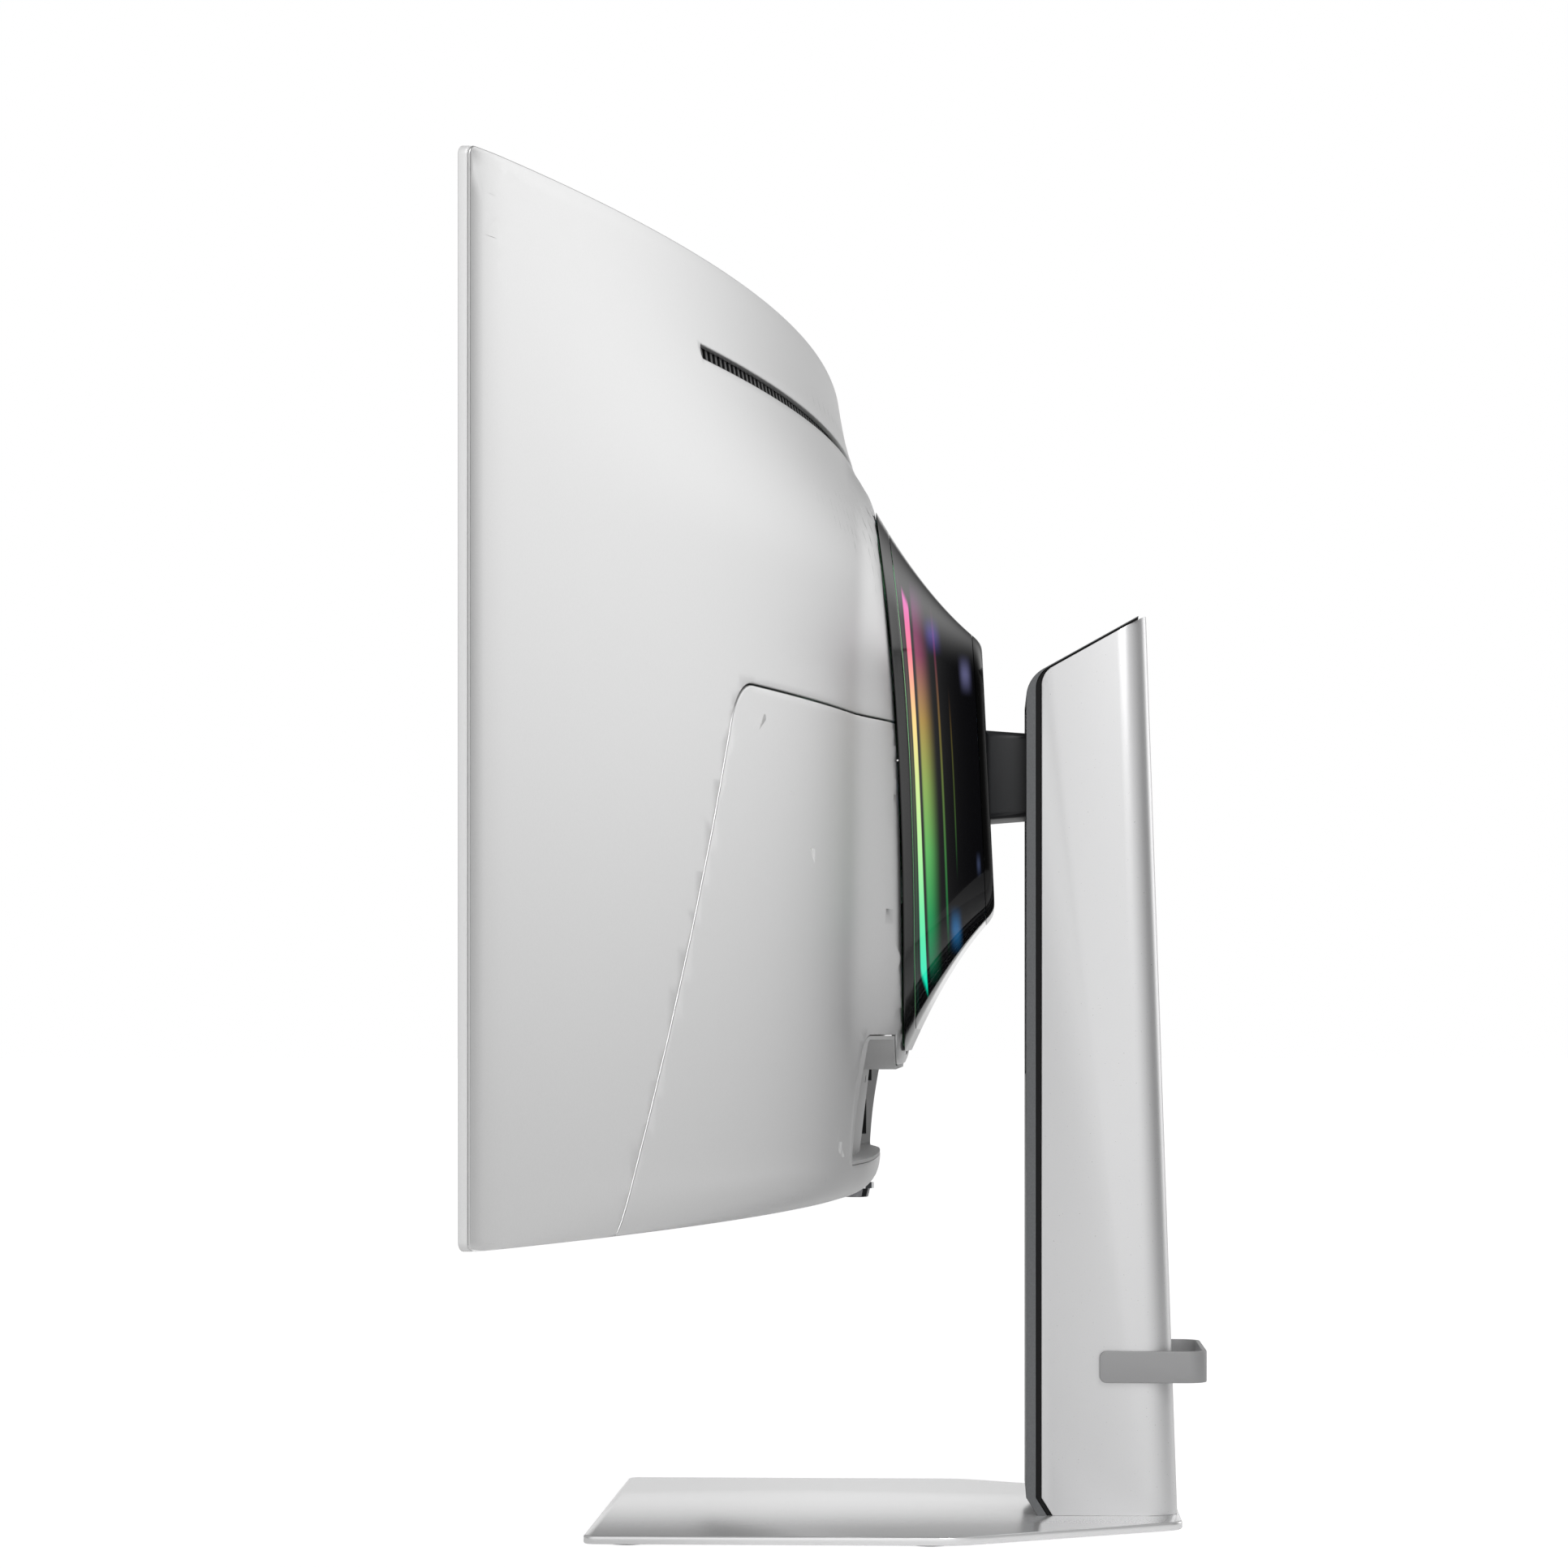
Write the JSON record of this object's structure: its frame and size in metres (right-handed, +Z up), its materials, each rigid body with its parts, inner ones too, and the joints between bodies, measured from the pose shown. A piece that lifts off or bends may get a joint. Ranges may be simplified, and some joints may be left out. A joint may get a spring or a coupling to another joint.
{
  "type": "curved ultrawide monitor on a height-adjustable stand with rear light",
  "caption": "Wide curved monitor with a glowing rear light unit, on a sloping neck and flat base plate, with height slide, tilt, jog control and cable clip.",
  "frame": {"origin": "on the desk, at the centre of the footprint of the whole object's box", "axes": "+X along the screen, -Y the way the screen faces, +Z up"},
  "size_m": [1.1948, 0.274, 0.515],
  "materials": {
    "cover_silver": "satin",
    "frame_silver": "satin",
    "screen_glass": "semi-gloss black",
    "sheet_aluminium": "rolled",
    "sheet_steel": "zinc plated",
    "screw_steel": "black zinc",
    "vent_black": "matt",
    "board_green": "solder mask",
    "socket_black": "moulded",
    "speaker_black": "moulded",
    "jog_chrome": "bright",
    "jog_black": "satin",
    "unit_black": "piano black",
    "lens_glass": "smoked gloss",
    "light_green": "glowing diffuser",
    "light_blue": "glowing diffuser",
    "reflector_mirror": "bright",
    "pin_steel": "ground",
    "washer_bronze": "matt",
    "arm_metal": "cast",
    "arm_charcoal": "fine grain",
    "slider_white": "self-lubricating",
    "spring_steel": "blued edge",
    "neck_silver": "satin anodised",
    "gasket_black": "satin",
    "trim_grey": "grainy metallic",
    "base_silver": "satin metallic",
    "pad_rubber": "matt",
    "clip_grey": "satin"
  },
  "bodies": {
    "stand": {"base_plate": "base_silver", "base_pads": "pad_rubber", "base_screws": "screw_steel", "neck_foot": "sheet_steel", "neck_frame": "sheet_steel", "neck_cover": "neck_silver", "neck_gasket": "gasket_black", "neck_front_trim": "trim_grey", "guide_rails": "pin_steel", "rail_brackets": "sheet_steel", "drum_axle": "pin_steel", "spring_strips": "spring_steel"},
    "carriage": {"arm_core": "arm_metal", "arm_cover": "arm_charcoal", "lift_carriage": "sheet_steel", "slider_blocks": "slider_white", "carriage_screws": "screw_steel"},
    "head": {"screen_panel": "screen_glass", "bezel_frame": "frame_silver", "panel_backplate": "sheet_aluminium", "chassis_plate": "sheet_steel", "rear_cover": "cover_silver", "lower_rear_cover": "cover_silver", "cover_screws": "screw_steel", "vent_grille": "vent_black", "port_bay": "cover_silver", "main_board": "board_green", "displayport_socket": "socket_black", "hdmi_sockets": "socket_black", "usb_sockets": "socket_black", "audio_socket": "socket_black", "dc_inlet": "socket_black", "panel_driver_board": "board_green", "speaker_left": "speaker_black", "speaker_right": "speaker_black", "jog_bezel": "jog_chrome", "jog_board": "board_green", "light_bezel": "unit_black", "light_lens": "lens_glass", "light_ring": "light_green", "inner_light_ring": "light_blue", "light_reflector": "reflector_mirror", "light_board": "board_green", "hub_posts": "sheet_steel", "hub_plate": "sheet_steel", "hub_screws": "screw_steel", "hub_cover": "unit_black", "hinge_brackets": "sheet_steel", "hinge_pin": "pin_steel", "friction_washers": "washer_bronze"},
    "drums": {"spring_drums": "spring_steel"},
    "jog_gimbal": {"jog_gimbal": "jog_black"},
    "jog_stem": {"jog_stem": "jog_black"},
    "jog_button": {"jog_button": "jog_black"},
    "clip": {"cable_clip": "clip_grey"}
  },
  "joints": [
    {"name": "height_slide", "type": "slide", "parent": "stand", "child": "carriage", "axis": [0, 0, 1], "range_m": [-0.11, 0.01]},
    {"name": "head_tilt", "type": "hinge", "parent": "carriage", "child": "head", "pos_m": [0, 0.023, 0.3396], "axis": [-1, 0, 0], "range_deg": [-2, 15]},
    {"name": "drum_spin", "type": "hinge", "parent": "stand", "child": "drums", "pos_m": [0, 0.09, 0.372], "axis": [1, 0, 0], "range_deg": [-66, 702]},
    {"name": "jog_tilt_front_back", "type": "hinge", "parent": "head", "child": "jog_gimbal", "pos_m": [0, -0.0225, 0.158], "axis": [1, 0, 0], "range_deg": [-4, 4], "stiffness_Nm_per_rad": 0.2},
    {"name": "jog_tilt_side", "type": "hinge", "parent": "jog_gimbal", "child": "jog_stem", "pos_m": [0, -0.0225, 0.158], "axis": [0, 1, 0], "range_deg": [-4, 4], "stiffness_Nm_per_rad": 0.2},
    {"name": "jog_press", "type": "slide", "parent": "jog_stem", "child": "jog_button", "axis": [0, 0, 1], "range_m": [0, 0.0007], "stiffness_N_per_m": 900},
    {"name": "clip_pull", "type": "slide", "parent": "stand", "child": "clip", "axis": [0, 1, 0], "range_m": [0, 0.06]}
  ],
  "couplings": [
    {"joint": "drum_spin", "follows": "height_slide", "rad_per_m": -111.11}
  ]
}
